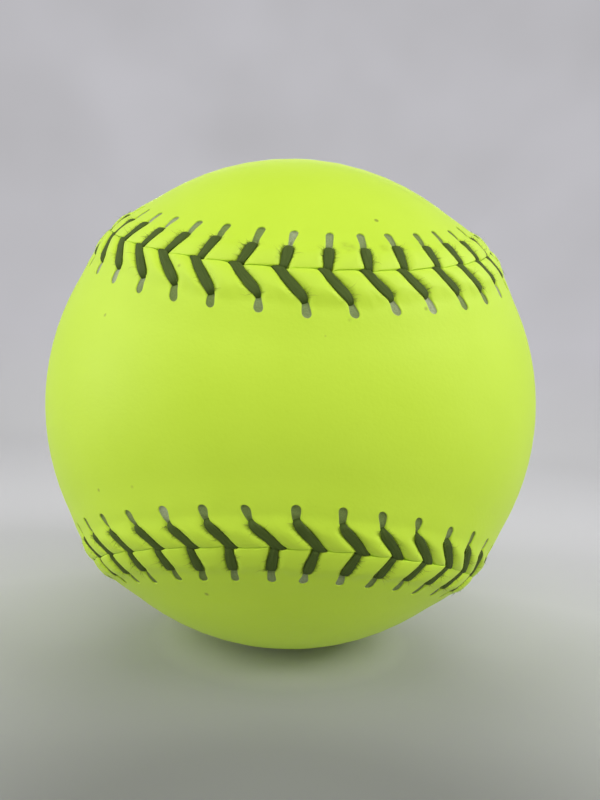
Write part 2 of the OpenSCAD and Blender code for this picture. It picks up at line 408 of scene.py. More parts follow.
def row_s(side, u):
    u = level(u)
    line = middle(side, cells, u)
    slope = (middle(side, cells, u + NUDGE) - line) / NUDGE
    grow = stretch(line, side * u)
    half = half_width(side, cells, u) * np.sqrt(1 + (slope * grow) ** 2) / grow
    left, right = line - boundary(side, cells, u), boundary(side, cells + 1, u) - line
    columns = []
    for room, direction in ((left, -1), (right, 1)):
        edge = np.minimum(half, EDGE_LIMIT * room)
        steps = [share * edge for share in EDGE_SHARES]
        steps += [edge + share * (room - edge) for share in BANK_SHARES]
        columns.append([line + direction * step for step in steps])
    before, after = columns
    return np.concatenate(before[:0:-1] + after[:-1], axis=1)


COLUMNS = row_s(FRONT, CRACK_W).shape[1]
print("columns to a stitch:", COLUMNS)

# %% [markdown]
# The outline of a hole is a slot with round ends, a little narrower where the thread draws its
# sides together. It has as many points as the four sides of the block that it lies in.

# %% Outline of a hole
# Points along each side of a hole. Each of its ends has as many as a row has columns
CLIMB = 10
# How far a hole starts before its place
MOUTH = 0.08


def outline(side, inset):
    """s and u of the points round each hole, in the order of the sides of its block."""
    st = stitches[side]
    neck, wide = st["neck"][:, None] - inset, st["width"][:, None] - inset
    low, high = st["out"][:, None] - MOUTH, st["tip"][:, None] - st["width"][:, None]
    end = math.pi * np.arange(COLUMNS) / COLUMNS
    climb = np.arange(CLIMB) / CLIMB
    swell = smooth(climb)
    u = np.concatenate([low - neck * np.sin(end), low + climb * (high - low),
                        high + wide * np.sin(end), high - climb * (high - low)], axis=1)
    across = np.concatenate([-neck * np.cos(end), neck + swell * (wide - neck),
                             wide * np.cos(end), -wide + swell * (wide - neck)], axis=1)
    line = middle(side, cells, u)
    return line + across / stretch(line, side * u), u


first_hole = outline(FRONT, 0)[1][0]
print("points round a hole:", len(first_hole))
print("the first front hole reaches from", first_hole.min().round(2), "to", first_hole.max().round(2))

# %% [markdown]
# A ring outside the outline is a share of the way to the block's sides, and its points stand at
# the leather's height, with a low rim close round the hole. The rings inside go down the cut edge
# of the leather to the felt at the bottom.

# %% Rings round a hole
# Shares of the way from the outline to the sides of the block
RING_SHARES = (0.8, 0.6, 0.42, 0.27, 0.15, 0.07, 0.025, 0)
# Height and width of the rim that stands up round a hole, and the length in which it starts
RIM, RIM_W, RIM_START = 0.03, 0.45, 0.8
# How far the cut edge is rounded down
EDGE_DROP = 0.05
# How far inside the outline and below the leather a ring lies, and how much it is felt
HOLE_RINGS = ((0.02, 0.09, 0.0), (0.05, 0.13, 1.0), (0.13, 0.22, 1.0), (0.26, 0.24, 1.0), (0.44, 0.22, 1.0))


def in_turn(low, low_end, edge_end, high_end, high, edge):
    """What lies round each block: along its low side, up, back along its high side and down."""
    return np.concatenate([low, low_end, edge_end, high_end, high[:, ::-1], edge[:, ::-1]], axis=1)


def block(shell, side, low_row, high_row, low_u, high_u):
    """The faces of all cells between two rows, with a hole in each."""
    edge_u = low_u + (high_u - low_u) * np.arange(1, CLIMB) / CLIMB
    edge_u = np.broadcast_to(edge_u, (STITCHES, CLIMB - 1))
    edge_s = boundary(side, cells, edge_u)
    edge = shell.add(place(edge_s, side * edge_u, leather_height(side, cells, edge_s, edge_u)))
    low, high = low_row.reshape(STITCHES, COLUMNS), high_row.reshape(STITCHES, COLUMNS)
    low_end, edge_end, high_end = (np.roll(part, -1, 0) for part in (low[:, :1], edge, high[:, :1]))
    ring = in_turn(low, low_end, edge_end, high_end, high, edge)
    ends_s = (boundary(side, cells + 1, u) for u in (level(low_u), edge_u, level(high_u)))
    outer_s = in_turn(row_s(side, low_u), *ends_s, row_s(side, high_u), edge_s)
    outer_u = np.concatenate([np.full((STITCHES, COLUMNS + 1), low_u), edge_u,
                              np.full((STITCHES, COLUMNS + 1), high_u), edge_u[:, ::-1]], axis=1)
    hole_s, hole_u = outline(side, 0)
    for share in RING_SHARES:
        s = hole_s + share * (outer_s - hole_s)
        u = hole_u + share * (outer_u - hole_u)
        away = np.hypot((s - hole_s) * stretch(s, side * u), u - hole_u)
        rim = RIM * np.exp(-(away / RIM_W) ** 2) * smooth((u - stitches[side]["out"][:, None]) / RIM_START)
        height = leather_height(side, cells, s, u) + rim - (EDGE_DROP if share == 0 else 0)
        inner = shell.add(place(s, side * u, height))
        shell.link(ring, inner)
        ring = inner
    top = leather_height(side, cells, hole_s, hole_u)
    for inset, drop, felt in HOLE_RINGS:
        s, u = outline(side, inset)
        inner = shell.add(place(s, side * u, top - drop), felt)
        shell.link(ring, inner)
        ring = inner
    shell.close(ring, COLUMNS // 2)


print("rings round and in a hole:", len(RING_SHARES) + len(HOLE_RINGS))

# %% [markdown]
# Past the holes the leather is smooth, and few points are enough. Both faces of a panel close
# along its middle line, an arc over the waist into both lobes.

# %% Rows of the smooth part
# Points to a stitch in the smooth part of a panel
SPARSE = 4
# How far the middle line reaches to each side of the waist
MIDDLE_REACH = math.radians(105)


def middle_dir(side, up):
    """The nearest place on the panel's middle line."""
    x, y, z = np.moveaxis(up, -1, 0)
    turn = np.arctan2(x, -y) if side == FRONT else np.arctan2(z, y)
    turn = np.clip(turn, -MIDDLE_REACH, MIDDLE_REACH)
    zero = np.zeros_like(turn)
    line = [np.sin(turn), -np.cos(turn), zero] if side == FRONT else [zero, np.cos(turn), np.sin(turn)]
    return np.stack(line, -1)


def even_row(side, u, points):
    """s of a row with fewer points, at even steps between the cells' boundaries."""
    here, after = (boundary(side, cells + step, level(u)) for step in (0, 1))
    return here + (after - here) * np.arange(points) / points


print("points in a sparse row:", even_row(FRONT, PAST_HOLES, SPARSE).size)

# %% [markdown]
# The whole panel is one run of rows: it starts at the middle of its inner face, goes out to the
# crack, up the cut edge, back over the pillows and holes, and closes at the middle of its outer
# face.

# %% A panel
COVER_T = 2.0
# Rows of the inner face: distance out, and points to a stitch
INNER_ROWS = ((10.0, SPARSE), (4.0, 2 * SPARSE))
# Depths below the top of the leather, for the rows of the cut edge in the crack
EDGE_ROWS = (0.62, 0.12)
# Distances out, for the rows from the crack to the holes and for the one past them
NEAR_ROWS = (0.04, 0.08, 0.15, 0.26, 0.42, 0.66, 0.98, 1.38, 1.84, 2.34, 2.86)
HOLE_END = {FRONT: 9.0, BACK: 8.6}
# Rows past that one: distance from it, and points to a stitch
FAR_ROWS = ((0.65, 2 * SPARSE), (1.5, SPARSE), (2.6, SPARSE), (3.7, SPARSE))
# Shares of the way from the last row to the middle line
MIDDLE_SHARES = (0.12, 0.26, 0.41, 0.56, 0.71, 0.85, 0.97)
# Share of the seam where a lobe of each panel has its tip, and how far out that is read
TIP_SHARE = {FRONT: 0.375, BACK: 0.125}
TIP_OUT = 11.0


def panel_mesh(side, name):
    shell = Shell()
    end_u = HOLE_END[side]

    def row(s, u, height, felt=0.0):
        out = side * np.full(s.shape, float(u))
        return shell.add(place(s, out, np.broadcast_to(height, s.shape)), felt).ravel()

    def leather_row(s, u):
        return row(s, u, leather_height(side, cells, s, level(u)))

    def smooth_rings(edge_u, height, felt):
        flat = np.zeros((STITCHES, SPARSE))
        edge = unit(place(even_row(side, edge_u, SPARSE), side * (flat + edge_u), flat))
        to = middle_dir(side, edge)
        return [shell.add((BALL_R + height) * unit(edge + share * (to - edge)), felt).ravel()
                for share in MIDDLE_SHARES]

    to_tip = (TIP_SHARE[side] * SEAM_L - even_row(side, TIP_OUT, SPARSE)[0, 0]) / PITCH
    tip = int(round(to_tip * SPARSE)) % (SPARSE * STITCHES)
    rows = smooth_rings(INNER_ROWS[0][0], -COVER_T, 1.0)[::-1]
    shell.close(rows[0], tip, inward=True)
    for u, points in INNER_ROWS:
        rows.append(row(even_row(side, u, points), u, -COVER_T + lifted(u), 1.0))
    columns = row_s(side, NEAR_ROWS[0])
    top = leather_height(side, cells, columns, level(NEAR_ROWS[0]))
    rows.append(row(columns, NEAR_ROWS[0], -COVER_T + LIFT, 1.0))
    rows += [row(columns, NEAR_ROWS[0], top - drop) for drop in EDGE_ROWS]
    rows += [leather_row(row_s(side, u), u) for u in NEAR_ROWS]
    for low, high in zip(rows, rows[1:]):
        shell.link(low, high)
    outer = [leather_row(row_s(side, end_u), end_u)]
    block(shell, side, rows[-1], outer[0], NEAR_ROWS[-1], end_u)
    for further, points in FAR_ROWS:
        outer.append(leather_row(even_row(side, end_u + further, points), end_u + further))
    outer += smooth_rings(end_u + FAR_ROWS[-1][0], 0.0, 0.0)
    for low, high in zip(outer, outer[1:]):
        shell.link(low, high)
    shell.close(outer[-1], tip)
    return shell.mesh(name, flip=side == BACK)


def add_piece(name, mesh, slot, *replaced):
    piece = bpy.data.objects.new(name, mesh)
    bpy.context.scene.collection.objects.link(piece)
    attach(piece, "root")
    if replaced:
        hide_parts(*replaced)
    return piece


front_cover = add_piece("front_cover", panel_mesh(FRONT, "front_cover"), "cover_leather", "front_panel")
back_cover = add_piece("back_cover", panel_mesh(BACK, "back_cover"), "cover_leather", "back_panel")
for cover in (front_cover, back_cover):
    print(cover.name, "faces:", len(cover.data.polygons), "points:", len(cover.data.vertices))

# %% [markdown]
# ## The lacing
# Each run is one waxed, flat thread that goes up through a hole, over the leather to the crack,
# down, and on beneath the other panel to its next hole. A curve with a bevel would make a round
# tube and twist in the tight bends, so the thread is swept by hand: at each station there is a
# middle point, a half width vector that ends in line with the crack, and a thickness. A leg cut
# off along the crack like this gives the stitch its sharp point.

# %% Stations along a stitch
# Height over the ball of the thread beneath the leather
BENEATH_HEIGHT = -1.84
# Distance out from the hole's place and height over the ball, for the way up through the leather
RISE = ((-0.35, BENEATH_HEIGHT), (-0.12, -1.0), (-0.10, -0.35), (-0.14, 0.1), (-0.3, 0.4), (-0.5, 0.58))
# Share of the way out and height, for the leg on the leather
LEG = ((0.82, 0.66), (0.74, 0.70), (0.66, 0.70), (0.56, 0.69),
       (0.46, 0.68), (0.36, 0.68), (0.27, 0.69), (0.19, 0.71))
# Distance out and height, for the way down into the crack
DIVE = ((0.50, 0.70), (0.34, 0.68), (0.21, 0.59), (0.14, 0.40), (0.11, 0.08), (0.1, -0.6), (0.08, -1.5))
# Distances out between which a leg's width turns in line with the crack
TURN_FROM, TURN_TO = 1.9, 0.5
# How far a leg is drawn on along the crack, from what distance out, and a power that delays it
FORWARD, FORWARD_FROM, FORWARD_LATE = {FRONT: 0.42, BACK: 0.0}, 0.9, 1.5


def unrolled(side, k, u):
    """Direction of the leg in seam lengths, towards the crack."""
    return np.stack([middle(side, k, u) - middle(side, k, u + NUDGE), np.full(u.shape, -side * NUDGE)], -1)


def leg_stations(side, k):
    """Places, heights, half width vectors and widths of a leg, from beneath its hole to beneath the crack."""
    out = stitches[side]["out"][k % STITCHES][:, None]
    u = np.concatenate([out + np.array([du for du, h in RISE]), out * np.array([share for share, h in LEG]),
                        out * 0 + np.array([d for d, h in DIVE])], axis=1)
    height = np.array([h for part in (RISE, LEG, DIVE) for _, h in part]) + 0 * u
    k = k[:, None]
    s = middle(side, k, u) + FORWARD[side] * np.clip(1 - u / FORWARD_FROM, 0, 1) ** FORWARD_LATE
    along, across, up = seam_frame(s)
    way = unrolled(side, k, u)
    way[..., 0] *= stretch(s, side * u)
    way = unit(way)
    ahead = way[..., :1] * along + way[..., 1:] * across
    perp = np.cross(up, ahead)
    perp *= np.sign(np.sum(perp * along, -1, keepdims=True))
    turned = smooth((TURN_FROM - u) / (TURN_FROM - TURN_TO))[..., None]
    wide = unit((1 - turned) * perp + turned * along)
    half = half_width(side, k, np.minimum(u, out)) / np.sum(wide * perp, -1)
    return s, side * u, height, wide, half


print("stations on a leg:", len(RISE) + len(LEG) + len(DIVE))

# %% [markdown]
# A run takes its legs from the two panels in turn. Between them it passes beneath the leather, and
# its end is tucked away there, part of the way to the hole where it began.

# %% A run of thread
# Shares of the way beneath the leather to the next hole, and how much of it the tucked end goes
BENEATH = (0.15, 0.5, 0.85)
TUCKED_SHARE = 0.4
BENEATH_HALF_W = 0.48


def run_points(first_side):
    """Middle points and half width vectors of one run of thread, in order."""
    spots, wides = [], []
    legs = {side: leg_stations(side, numbers) for side in (FRONT, BACK)}
    for k in numbers:
        side = first_side if k % 2 == 0 else -first_side
        s, out, height, wide, half = (part[k] for part in legs[side])
        spots.append(place(s, out, height))
        wides.append(wide * half[:, None])
        next_s, next_out = legs[-side][0][(k + 1) % STITCHES, 0], legs[-side][1][(k + 1) % STITCHES, 0]
        next_s += SEAM_L if k == STITCHES - 1 else 0
        shares = np.array(BENEATH) * (1 if k < STITCHES - 1 else TUCKED_SHARE)
        under_s, under_out = s[-1] + shares * (next_s - s[-1]), out[-1] + shares * (next_out - out[-1])
        spots.append(place(under_s, under_out, np.full(len(shares), BENEATH_HEIGHT)))
        along, across, up = seam_frame(under_s)
        ahead = unit((next_s - s[-1]) * along + (next_out - out[-1]) * across)
        perp = np.cross(up, ahead)
        wides.append(BENEATH_HALF_W * perp * np.sign(np.sum(perp * along, -1, keepdims=True)))
    return np.concatenate(spots), np.concatenate(wides)


print("middle points of a run:", len(run_points(FRONT)[0]))

# %% [markdown]
# The thread isn't a plain band: four strands lie side by side in it, so its section is a flat
# rounded shape with a low ridge for each. Two values go with the mesh, the place across the
# thread and the length along it, and the finish is laid along the thread with them.

# %% Both threads
THREAD_T = 0.52
SECTION_POINTS = 24
# Powers that flatten a circle into the section, across it and through it
ACROSS_POWER, THROUGH_POWER = 0.8, 0.55
STRANDS = 4
STRAND_DEPTH = 0.10


def section():
    """Shares of half the width and half the thickness round the thread, with a ridge for each strand."""
    turn = 2 * math.pi * (np.arange(SECTION_POINTS) + 0.5) / SECTION_POINTS
    x = np.sign(np.cos(turn)) * np.abs(np.cos(turn)) ** ACROSS_POWER
    y = np.sign(np.sin(turn)) * np.abs(np.sin(turn)) ** THROUGH_POWER
    return x, y * (1 + STRAND_DEPTH * np.cos(math.pi * (STRANDS * x + STRANDS - 1)))


def thread_mesh(first_side, name):
    spots, wides = run_points(first_side)
    ahead = unit(np.gradient(spots, axis=0))
    thick = unit(np.cross(ahead, wides)) * THREAD_T / 2
    x, y = section()
    rings = spots[:, None] + x[:, None] * wides[:, None] + y[:, None] * thick[:, None]
    count, n = len(rings), SECTION_POINTS
    index = np.arange(count * n).reshape(count, n)
    low, high = index[:-1], index[1:]
    faces = np.stack([low, np.roll(low, -1, 1), np.roll(high, -1, 1), high], -1).reshape(-1, 4).tolist()
    faces += [index[0, ::-1].tolist(), index[-1].tolist()]
    mesh = bpy.data.meshes.new(name)
    mesh.from_pydata((rings.reshape(-1, 3) * MM).tolist(), [], faces)
    lengths = np.concatenate([[0], np.cumsum(np.linalg.norm(np.diff(spots, axis=0), axis=1))])
    mesh.attributes.new("across", "FLOAT", "POINT").data.foreach_set("value", np.tile(x, count))
    mesh.attributes.new("length", "FLOAT", "POINT").data.foreach_set("value", np.repeat(lengths, n))
    mesh.shade_smooth()
    print(name, "is", round(lengths[-1]), "mm long, with", len(faces), "faces")
    return mesh


first_mesh = thread_mesh(FRONT, "first_thread")
first_run = add_piece("first_thread", first_mesh, "lacing_thread", "first_needle_thread")
second_mesh = thread_mesh(BACK, "second_thread")
second_run = add_piece("second_thread", second_mesh, "lacing_thread", "second_needle_thread")

# %% [markdown]
# ## Fuzz on the thread
# The needle and the tight holes rough up the thread, so short fibres stand out from its edges,
# most of them near the holes. Blender's hair would not be exported, so each fibre is a thin
# three-sided tube with a bend, which stays just above the leather under it.

# %% Short fibres
FIBRES_PER_LEG = 52
FIBRE_SIDES = 3
# Radius at each step along a fibre
FIBRE_R = (0.028, 0.022, 0.014, 0.004)
FIBRE_STEPS = len(FIBRE_R)
# Share of the way out where the furthest fibre starts, how much nearer to the crack others start,
# and a power that crowds them near the hole
FURTHEST, NEARER, CROWDING = 0.93, 0.72, 1.3
# Logarithm of the middle length, its spread, and the least and the most length
LENGTH_LOG, LENGTH_SPREAD, SHORTEST, LONGEST = -0.85, 0.55, 0.16, 1.7
# Spread of the angle at which a fibre starts and by which it bends, and the range of its rise
LEAN_SPREAD, CURL_SPREAD, LEAST_RISE, MOST_RISE = 0.55, 0.5, 0.05, 0.5
# Share of the leg's half width where fibres start, and how far they keep from the crack
START_SHARE, CRACK_CLEAR = 0.9, 0.2
# Height over the leather, height over the leg, and how much higher a tip is
FIBRE_CLEAR, OVER_LEG, TIP_RISE = 0.03, 0.05, 0.25


def fibre_rings(side):
    """Rings of three points along every fibre on one side's legs."""
    k = np.repeat(numbers, FIBRES_PER_LEG)
    n = len(k)
    out = stitches[side]["out"][k]
    share = FURTHEST - NEARER * rng.random(n) ** CROWDING
    edge = np.where(rng.random(n) < 0.5, -1, 1)
    length = np.clip(rng.lognormal(LENGTH_LOG, LENGTH_SPREAD, n), SHORTEST, LONGEST)
    lean = rng.normal(0, LEAN_SPREAD, n)
    curl = rng.normal(0, CURL_SPREAD, n)
    rise = rng.uniform(LEAST_RISE, MOST_RISE, n)
    u0 = out * share
    edge_height = np.interp(share, [at for at, h in LEG[::-1]], [h for at, h in LEG[::-1]])
    line = middle(side, k, u0)
    s0 = line + edge * START_SHARE * half_width(side, k, u0) / stretch(line, side * u0)
    rings = []
    for step, radius in enumerate(FIBRE_R):
        t = step / (FIBRE_STEPS - 1)
        turn = lean + curl * t
        s = s0 + edge * length * t * np.cos(turn)
        u = np.maximum(u0 + length * t * np.sin(turn), CRACK_CLEAR)
        ground = leather_height(side, k, s, u)
        over_leather = ground + FIBRE_CLEAR + rise * t * t * length
        height = np.maximum(over_leather, edge_height + OVER_LEG + TIP_RISE * t)
        middle_point = place(s, side * u, height)
        along, across, up = seam_frame(s)
        for corner in range(FIBRE_SIDES):
            angle = 2 * math.pi * corner / FIBRE_SIDES
            rings.append(middle_point + radius * (math.cos(angle) * up + math.sin(angle) * across))
    return np.stack(rings, 1)


def fuzz_mesh(name):
    points = np.concatenate([fibre_rings(FRONT), fibre_rings(BACK)])
    fibres = len(points)
    faces = []
    for step in range(FIBRE_STEPS - 1):
        for corner in range(FIBRE_SIDES):
            a = FIBRE_SIDES * step + corner
            b = FIBRE_SIDES * step + (corner + 1) % FIBRE_SIDES
            faces.append([a, b, b + FIBRE_SIDES, a + FIBRE_SIDES])
    last = FIBRE_SIDES * (FIBRE_STEPS - 1)
    caps = [[0, 2, 1], [last, last + 1, last + 2]]
    firsts = (np.arange(fibres) * FIBRE_SIDES * FIBRE_STEPS)[:, None, None]
    made = (firsts + np.array(faces)).reshape(-1, 4).tolist()
    made += (firsts + np.array(caps)).reshape(-1, 3).tolist()
    mesh = bpy.data.meshes.new(name)
    mesh.from_pydata((points.reshape(-1, 3) * MM).tolist(), [], made)
    mesh.shade_smooth()
    print(name, "has", fibres, "fibres")
    return mesh


fuzz = add_piece("thread_fuzz", fuzz_mesh("thread_fuzz"), "lacing_thread")

# %% [markdown]
# ## A way to write materials
# Node trees are hard to read as lists of links, so shader maths is written as Python. A socket
# object adds a Math node for each operator, and every other node comes from one method.

# %% Sockets that can be added and multiplied
class Socket:
    """A shader value that maths can be written with."""

    def __init__(self, tree, socket):
        self.tree, self.socket = tree, socket

    def maths(self, operation, *values):
        return self.tree.node("ShaderNodeMath", dict(operation=operation), dict(enumerate(values)))

    def __add__(self, other):
        return self.maths("ADD", self, other)

    def __sub__(self, other):
        return self.maths("SUBTRACT", self, other)

    def __rsub__(self, other):
        return self.maths("SUBTRACT", other, self)

    def __mul__(self, other):
        return self.maths("MULTIPLY", self, other)

    __radd__ = __add__
    __rmul__ = __mul__


class Finish:
    """A material and its node tree."""

    def __init__(self, name):
        self.material = bpy.data.materials.new(name)
        self.material.use_nodes = True
        self.tree = self.material.node_tree
        self.tree.nodes.clear()

    def node(self, kind, settings=None, values=None, output=0):
        """Adds a node: its settings first, then the values or links of its sockets."""
        made = self.tree.nodes.new(kind)
        for name, value in (settings or {}).items():
            if name == "stops":
                while len(made.color_ramp.elements) < len(value):
                    made.color_ramp.elements.new(0.5)
                for stop, (position, colour) in zip(made.color_ramp.elements, value):
                    stop.position, stop.color = position, colour
            else:
                setattr(made, name, value)
        for name, value in (values or {}).items():
            if isinstance(value, Socket):
                self.tree.links.new(value.socket, made.inputs[name])
            else:
                made.inputs[name].default_value = value
        return Socket(self, made.outputs[output]) if len(made.outputs) else None

    def mix(self, factor, first, second):
        """A colour between two. Inputs 6 and 7 of the Mix node are its colours, and output 2 is their mix."""
        return self.node("ShaderNodeMix", dict(data_type="RGBA"), {0: factor, 6: first, 7: second}, output=2)

    def ramp(self, value, *stops):
        grey = [(position, (shade, shade, shade, 1)) for position, shade in stops]
        return self.node("ShaderNodeValToRGB", dict(stops=grey), {"Fac": value})

    def place(self):
        return self.node("ShaderNodeTexCoord", output="Object")

    def distance(self, place, point):
        values = {0: place, 1: point}
        return self.node("ShaderNodeVectorMath", dict(operation="DISTANCE"), values, output="Value")

    def noise(self, scale, detail, place=None, **values):
        """Noise with so many waves to a unit of its place, which is a metre where no place is given."""
        values = {"Vector": place or self.place(), "Scale": scale, "Detail": detail, **values}
        return self.node("ShaderNodeTexNoise", None, values)

    def attribute(self, name):
        return self.node("ShaderNodeAttribute", dict(attribute_name=name), output="Fac")

    def bump(self, height, strength, distance):
        values = {"Height": height, "Strength": strength, "Distance": distance}
        return self.node("ShaderNodeBump", None, values)

    def surface(self, **values):
        values = {name.replace("_", " "): value for name, value in values.items()}
        shader = self.node("ShaderNodeBsdfPrincipled", None, values)
        self.node("ShaderNodeOutputMaterial", None, {"Surface": shader})
        print(self.material.name, "has", len(self.tree.nodes), "nodes")
        return self.material


def srgb(red, green, blue):
    """A colour as written in 0 to 255, as Blender's linear one."""
    parts = [c / 255 for c in (red, green, blue)]
    return tuple(c / 12.92 if c <= 0.04045 else ((c + 0.055) / 1.055) ** 2.4 for c in parts) + (1.0,)


print("middle grey, linear:", [round(c, 3) for c in srgb(128, 128, 128)])

# %% [markdown]
# ## The leather's finish
# The cover is a woven felt with a smooth skin of bright polyurethane. The skin is nearly even, so
# its detail is small: a faint mottle, a fine grain, a few specks of dirt, and the marks of play
# that this ball has on its front, each at its own place. In the holes the skin ends and the felt
# shows, matted and grey-green in some and paler in others, a pale that is partly the felt's own
# whitish grey and partly a painted highlight. One material does both, because the mesh says where the felt
# is.

# %% Leather
# Marks: turn from the front and climb in degrees, radius in mm and strength
MARKS = ((-39.0, 14.9, 0.32, 0.6), (-22.8, 23.1, 0.26, 0.5), (22.5, 18.2, 0.30, 0.6),
         (-39.1, -17.0, 0.32, 0.5), (-17.8, -36.7, 0.45, 0.5), (-29.5, -15.1, 0.26, 0.5),
         (8.0, 14.9, 0.24, 0.4), (8.2, 28.4, 1.5, 0.2), (15.5, 28.9, 1.1, 0.14))
# Share of a mark's radius where it starts to fade
MARK_CORE = 0.4
SPECK_STRENGTH = 0.65
YELLOW = srgb(204, 238, 56), srgb(212, 245, 68)
DIRT = srgb(80, 95, 40)
# Darkest and palest felt, where it is matted and where it is paler, partly as a painted highlight
MATTED_FELT = srgb(94, 113, 54), srgb(146, 166, 92)
PALE_FELT_AND_HIGHLIGHT = srgb(128, 141, 94), srgb(206, 214, 180)


def marks(finish, where):
    """How much dirt the marks leave at a place."""
    outward = finish.node("ShaderNodeVectorMath", dict(operation="NORMALIZE"), {0: where})
    dirt = 0
    for turn, climb, radius, strength in MARKS:
        turn, climb, reach = math.radians(turn), math.radians(climb), radius / BALL_R
        spot = (math.sin(turn) * math.cos(climb), -math.cos(turn) * math.cos(climb), math.sin(climb))
        dirt = dirt + finish.ramp(finish.distance(outward, spot), (MARK_CORE * reach, strength), (reach, 0))
    return dirt * finish.ramp(finish.noise(1100, 2, where), (0.35, 0.35), (0.6, 1))


def specks(finish, where):
    """Small round specks, left out in the noise's low places."""
    dots = finish.node("ShaderNodeTexVoronoi", None, {"Vector": where, "Scale": 95, "Randomness": 1.0})
    kept = finish.ramp(finish.noise(37, 1, where), (0.60, 0), (0.62, 1))
    return finish.ramp(dots, (0.0, 1), (0.028, 0.8), (0.038, 0)) * kept


def leather(name):
    finish = Finish(name)
    where = finish.place()
    felt = finish.ramp(finish.attribute("felt"), (0.4, 0), (0.6, 1))
    yellow = finish.mix(finish.noise(90, 4, where), *YELLOW)
    skin = finish.mix(specks(finish, where) * SPECK_STRENGTH + marks(finish, where), yellow, DIRT)
    fibre = finish.noise(5200, 3, where)
    # Where the felt is paler: partly its own whitish grey and partly a painted highlight, placed by noise
    pale_and_highlit = finish.ramp(finish.noise(48, 2, where), (0.45, 0), (0.65, 1))
    darkest = finish.mix(pale_and_highlit, MATTED_FELT[0], PALE_FELT_AND_HIGHLIGHT[0])
    palest = finish.mix(pale_and_highlit, MATTED_FELT[1], PALE_FELT_AND_HIGHLIGHT[1])
    grain = finish.noise(1500, 3, where, Roughness=0.6)
    return finish.surface(
        Base_Color=finish.mix(felt, skin, finish.mix(fibre, darkest, palest)),
        Roughness=0.50 + 0.08 * grain + 0.3 * felt,
        Normal=finish.bump(grain * (1 - felt) + fibre * felt * 3, 0.25, 0.00012),
        Specular_IOR_Level=0.35,
        Sheen_Weight=0.12,
        Sheen_Roughness=0.35,
        Sheen_Tint=srgb(245, 250, 215),
    )


cover_leather = leather("cover_leather")
for cover in (front_cover, back_cover):
    cover.data.materials.append(cover_leather)

# %% [markdown]
# ## The thread's finish
# The thread is dark olive cotton, rubbed with wax. Fine fibres run along it, so the noise that
# colours it is stretched along the thread: the mesh gives the place across and along. The loose
# fibres are thin and catch more light, so their colour is paler and changes from one to the next.

# %% Thread and loose fibres
# How often the streaks change across the thread and in each millimetre along it
STREAKS_ACROSS, STREAKS_ALONG = 7, 0.35


def thread(name, dark, light):
    finish = Finish(name)
    stretched = finish.node("ShaderNodeCombineXYZ", None, {
        "X": finish.attribute("across") * STREAKS_ACROSS, "Y": finish.attribute("length") * STREAKS_ALONG})
    streak = finish.noise(1.0, 4, stretched)
    return finish.surface(
        Base_Color=finish.mix(finish.ramp(streak, (0.3, 0), (0.75, 1)), dark, light),
        Roughness=0.66 + 0.2 * streak,
        Normal=finish.bump(streak, 0.5, 0.0001),
        Specular_IOR_Level=0.2,
    )


def loose_fibre(name):
    finish = Finish(name)
    shade = finish.mix(finish.noise(700, 2), srgb(88, 106, 36), srgb(142, 160, 66))
    return finish.surface(Base_Color=shade, Roughness=0.8)


first_run.data.materials.append(thread("first_thread_olive", srgb(66, 84, 28), srgb(90, 108, 48)))
second_run.data.materials.append(thread("second_thread_olive", srgb(64, 82, 28), srgb(88, 106, 46)))
fuzz.data.materials.append(loose_fibre("loose_fibre"))

# %% [markdown]
# ## The pieces inside
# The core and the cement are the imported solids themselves: nobody sees them on a whole ball, but
# whoever takes the cover off should find cast foam with fine cells under a skin of dried cement.

# %% Core and cement
def core_foam():
    finish = Finish("core_foam")
    foam_cells = finish.node("ShaderNodeTexVoronoi", None, {"Scale": 1400.0})
    tint = finish.mix(finish.noise(60, 3), srgb(222, 205, 160), srgb(236, 222, 184))
    pores = finish.ramp(foam_cells, (0.0, 0), (0.35, 1))
    return finish.surface(
        Base_Color=finish.mix(pores, srgb(196, 176, 130), tint),
        Roughness=0.75,
        Normal=finish.bump(pores, 0.3, 0.0001),
    )


def cement():
    finish = Finish("cement")
    brushed = finish.noise(220, 5)
    return finish.surface(
        Base_Color=finish.mix(brushed, srgb(176, 128, 66), srgb(206, 164, 98)),
        Roughness=0.35 + 0.3 * brushed,
        Normal=finish.bump(brushed, 0.5, 0.0002),
    )


for node, finish_of in (("core", core_foam), ("cement_coat", cement)):
    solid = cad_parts[node]
    made = finish_of()
    if not solid.material_slots:
        solid.data.materials.append(made)
    for slot in solid.material_slots:
        slot.material = made

# %% [markdown]
# ## Camera
# The photograph was taken with a phone held close: the ball fills the frame from only 129 mm, so
# its outline hides part of the seam's ends. The lens and the place come from the outline of the
# ball and the stitches in the photograph.

# %% Camera at the photograph's place
FRAME_W, FRAME_H = 600, 800
# Focal length and the ball's centre, in pixels of the photograph
FOCAL_PX = 602
CENTRE_PX = (291.9, 403.4)
DISTANCE = 2.65 * BALL_R
SENSOR = 32.0
CLIP_START = 0.005
# The small turn away from a level look at the front, as an axis whose length is the angle
TURN_DEGREES = Vector((0.66, 1.55, -3.07))

right_of_middle, above_middle = CENTRE_PX[0] - FRAME_W / 2, FRAME_H / 2 - CENTRE_PX[1]
ray = Vector((right_of_middle / FOCAL_PX, above_middle / FOCAL_PX, -1)).normalized()
upright = Matrix(((1, 0, 0), (0, 0, 1), (0, -1, 0)))
turned = Matrix.Rotation(math.radians(TURN_DEGREES.length), 3, TURN_DEGREES.normalized()) @ upright
back_turned = turned.transposed()
camera = bpy.data.objects.new("camera", bpy.data.cameras.new("camera"))
camera.data.sensor_width = SENSOR
camera.data.lens = SENSOR * FOCAL_PX / FRAME_H
camera.data.clip_start = CLIP_START
camera.matrix_world = Matrix.Translation(-(back_turned @ ray) * DISTANCE * MM) @ back_turned.to_4x4()
bpy.context.scene.collection.objects.link(camera)
bpy.context.scene.camera = camera
print("camera at, mm:", [round(c / MM, 1) for c in camera.location], "lens:", round(camera.data.lens, 2))
